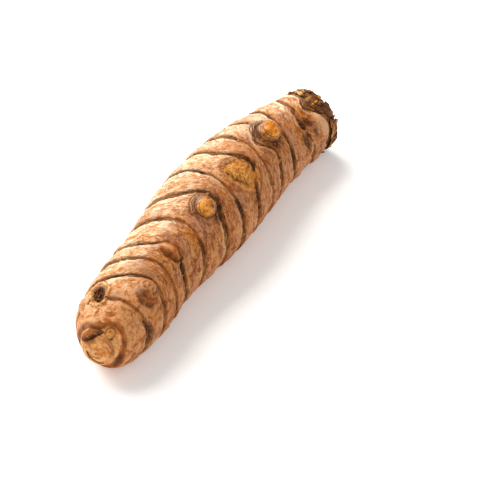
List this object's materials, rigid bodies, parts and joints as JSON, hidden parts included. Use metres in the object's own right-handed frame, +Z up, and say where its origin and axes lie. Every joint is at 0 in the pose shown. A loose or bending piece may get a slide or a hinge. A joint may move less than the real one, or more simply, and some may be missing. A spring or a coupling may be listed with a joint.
{
  "type": "turmeric root",
  "caption": "Fresh turmeric finger: one blunt, slightly bowed rhizome with stepped leaf-scar rings, round buds, shoot scars and a rough broken end, lying flat.",
  "frame": {"origin": "on the surface that the root lies on, under the middle of its bounding box", "axes": "+X along the root from the blunt growing tip to the broken end, +Z up, +Y to the left of +X"},
  "size_m": [0.097, 0.0234, 0.0214],
  "materials": {
    "skin": null,
    "dry_scale": "matte, dark dried leaf scale and root fibre"
  },
  "bodies": {
    "root": {"turmeric_root": "skin"}
  },
  "joints": []
}
